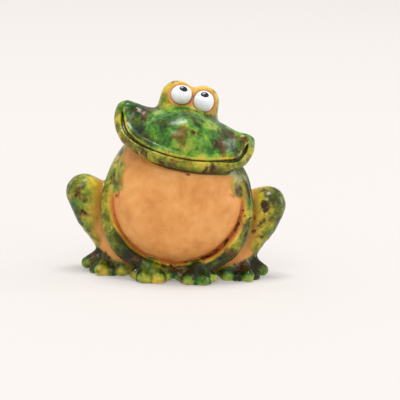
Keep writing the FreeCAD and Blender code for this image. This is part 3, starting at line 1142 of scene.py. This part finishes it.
# ---------------- build
SLOTS = {item["node"]: item["material_slot"] for item in frame["record"]["subparts"]}
HOLLOW = ("belly_shell", "back_shell", "head_shell")
BEND_SPREAD = 2.5  # distance over which the surface's bend is felt, mm
EYE_STEP = STEP / 2
EYE_MARGIN = 2.0  # room round the eyeball in its grid
EYE_UNEVENNESS = (0.12, 9.0, 21)  # height, wavelength and seed, mm
PUPIL_HALF_WIDTH = 3.3
PUPIL_HALF_HEIGHT = 2.6
PUPIL_PROUD = 0.55  # how far it stands out of the eyeball
PUPIL_ROOT = 0.8  # how far it goes into it
PUPIL_ROUNDING = 1.1


def finish_piece(piece, node, material):
    piece.data.materials.append(material)
    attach(piece, "root")
    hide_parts(node)


def build_clay(sculpture):
    materials = {}
    zones = glaze_zones()
    spots, smudges = (laid_on(sculpture, found) for found in front_spots())
    spots += back_spots(sculpture)
    for node in sculpture.claims:
        points, quads = sculpture.piece(node, node in HOLLOW)
        bare, green, emerald = blend_zones(points, zones).T
        piece = make_mesh("clay_" + node, soften(sculpture, points, bare), quads)
        # brown spots, plus the painted shade in the groove round the belly
        stain_and_shade = np.maximum(spot_stain(points, spots, smudges), groove_shade_and_stain(points))
        bend = bend_of(sculpture, points, BEND_SPREAD)
        masks = {"bare": bare, "green": green, "emerald": emerald, "stain_and_shade": stain_and_shade, "bend": bend}
        for name, values in masks.items():
            add_mask(piece.data, name, values)
        slot = SLOTS[node]
        materials[slot] = materials.get(slot) or glazed_clay(slot)
        finish_piece(piece, node, materials[slot])


def pupil_form(side):
    """A flat drop of glaze on the eyeball: an oval column cut between two shells round the eyeball."""
    centre, radii = eye_shape(side)
    gaze = node_centre("pupil_" + side) - centre
    gaze /= np.linalg.norm(gaze)
    across = HEAD_TURN @ np.array([1.0, 0.0, 0.0])
    across -= gaze * (across @ gaze)
    across /= np.linalg.norm(across)
    up = np.cross(gaze, across)

    def form(x, y, z):
        px, py, pz = x - centre[0], y - centre[1], z - centre[2]
        wide = (px * across[0] + py * across[1] + pz * across[2]) / PUPIL_HALF_WIDTH
        tall = (px * up[0] + py * up[1] + pz * up[2]) / PUPIL_HALF_HEIGHT
        ahead = px * gaze[0] + py * gaze[1] + pz * gaze[2]
        column = (np.sqrt(wide**2 + tall**2) - 1.0) * PUPIL_HALF_HEIGHT
        shell = ellipsoid(x, y, z, centre, radii)
        drop = smooth_max(column, shell - PUPIL_PROUD, PUPIL_ROUNDING)
        return np.maximum(np.maximum(drop, -(shell + PUPIL_ROOT)), -ahead)

    return form


def build_eyes(sculpture):
    white, black = eye_glaze("eye_white"), pupil_glaze("eye_black")
    height, length, seed = EYE_UNEVENNESS
    for side in SIDES:
        centre, radii = eye_shape(side)
        for node, form, material in (
            ("eyeball_" + side, eyeball(side), white),
            ("pupil_" + side, pupil_form(side), black),
        ):
            grid = Grid(centre - radii - EYE_MARGIN, centre + radii + EYE_MARGIN, EYE_STEP)
            x, y, z = np.meshgrid(*grid.axes, indexing="ij", sparse=True)
            values = form(x, y, z)
            vertices, quads = surface_net(values)
            points = grid.low + settle(values, vertices) * EYE_STEP
            uneven = height * ripple(points, length, seed)
            outward = (points - centre) / np.linalg.norm(points - centre, axis=1)[:, None]
            points = points + outward * uneven[:, None]
            piece = make_mesh("glazed_" + node, points, quads)
            add_mask(piece.data, "bare", -sample(sculpture.solid, sculpture.lattice(points)))
            finish_piece(piece, node, material)


# ---------------- stage
CAMERA_TARGET = (0.0180, 0.002, 0.0556)
CAMERA_ELEVATION = math.radians(10.0)
CAMERA_ROLL = math.radians(2.3)
CAMERA_DISTANCE = 1.45
FRAME_WIDTH = 0.300  # what the picture spans at the object
SENSOR = 36.0


def build_camera():
    data = bpy.data.cameras.new("camera")
    data.sensor_width = SENSOR
    data.lens = SENSOR * CAMERA_DISTANCE / FRAME_WIDTH
    camera = bpy.data.objects.new("camera", data)
    aim = Matrix.Translation(CAMERA_TARGET)
    tilt = Matrix.Rotation(math.pi / 2 - CAMERA_ELEVATION, 4, "X")
    back = Matrix.Translation((0, 0, CAMERA_DISTANCE))
    camera.matrix_world = aim @ tilt @ Matrix.Rotation(CAMERA_ROLL, 4, "Z") @ back
    bpy.context.scene.collection.objects.link(camera)
    bpy.context.scene.camera = camera


FLOOR_SIZE = 16.0
FLOOR_LOOK = {  # a little light of its own keeps it pale
    "Base Color": (0.44, 0.42, 0.407),
    "Roughness": 0.9,
    "Specular IOR Level": 0.1,
    "Emission Color": (1.0, 0.96, 0.935),
    "Emission Strength": 0.287,
}
WORLD_COLOUR = (1.0, 0.985, 0.97)
WORLD_STRENGTH = 0.75
LIGHT_TARGET = (0, 0, 0.08)
LIGHTS = [  # name, position and size in metres, power in watts
    ("top", (-0.15, 0.20, 8.00), (3.7, 2.1), 420.0),
    ("key", (-1.60, -5.40, 6.00), (3.0, 2.2), 100.0),
    ("fill", (6.2, -4.8, 2.8), (2.8, 4.2), 44.0),
    ("side", (6.8, 2.2, 2.2), (2.0, 3.4), 90.0),
]


def build_floor():
    bpy.ops.mesh.primitive_plane_add(size=FLOOR_SIZE)
    floor = bpy.context.object
    floor.name = "floor"
    paint = Painter("floor")
    for name, value in FLOOR_LOOK.items():
        paint.feed(paint.shader.inputs[name], value)
    floor.data.materials.append(paint.material)


def build_world():
    world = bpy.data.worlds.new("world")
    world.use_nodes = True
    background = world.node_tree.nodes["Background"]
    background.inputs["Color"].default_value = (*WORLD_COLOUR, 1)
    background.inputs["Strength"].default_value = WORLD_STRENGTH
    bpy.context.scene.world = world
    bpy.context.scene.view_settings.view_transform = "Standard"


def area_light(name, position, size, power):
    data = bpy.data.lights.new(name, "AREA")
    data.shape = "RECTANGLE"
    data.size, data.size_y = size
    data.energy = power
    light = bpy.data.objects.new(name, data)
    light.location = position
    light.rotation_euler = (Vector(LIGHT_TARGET) - Vector(position)).to_track_quat("-Z", "Y").to_euler()
    bpy.context.scene.collection.objects.link(light)


build_camera()
build_floor()
build_world()
for light in LIGHTS:
    area_light(*light)
FROG = Sculpture()
build_clay(FROG)
build_eyes(FROG)
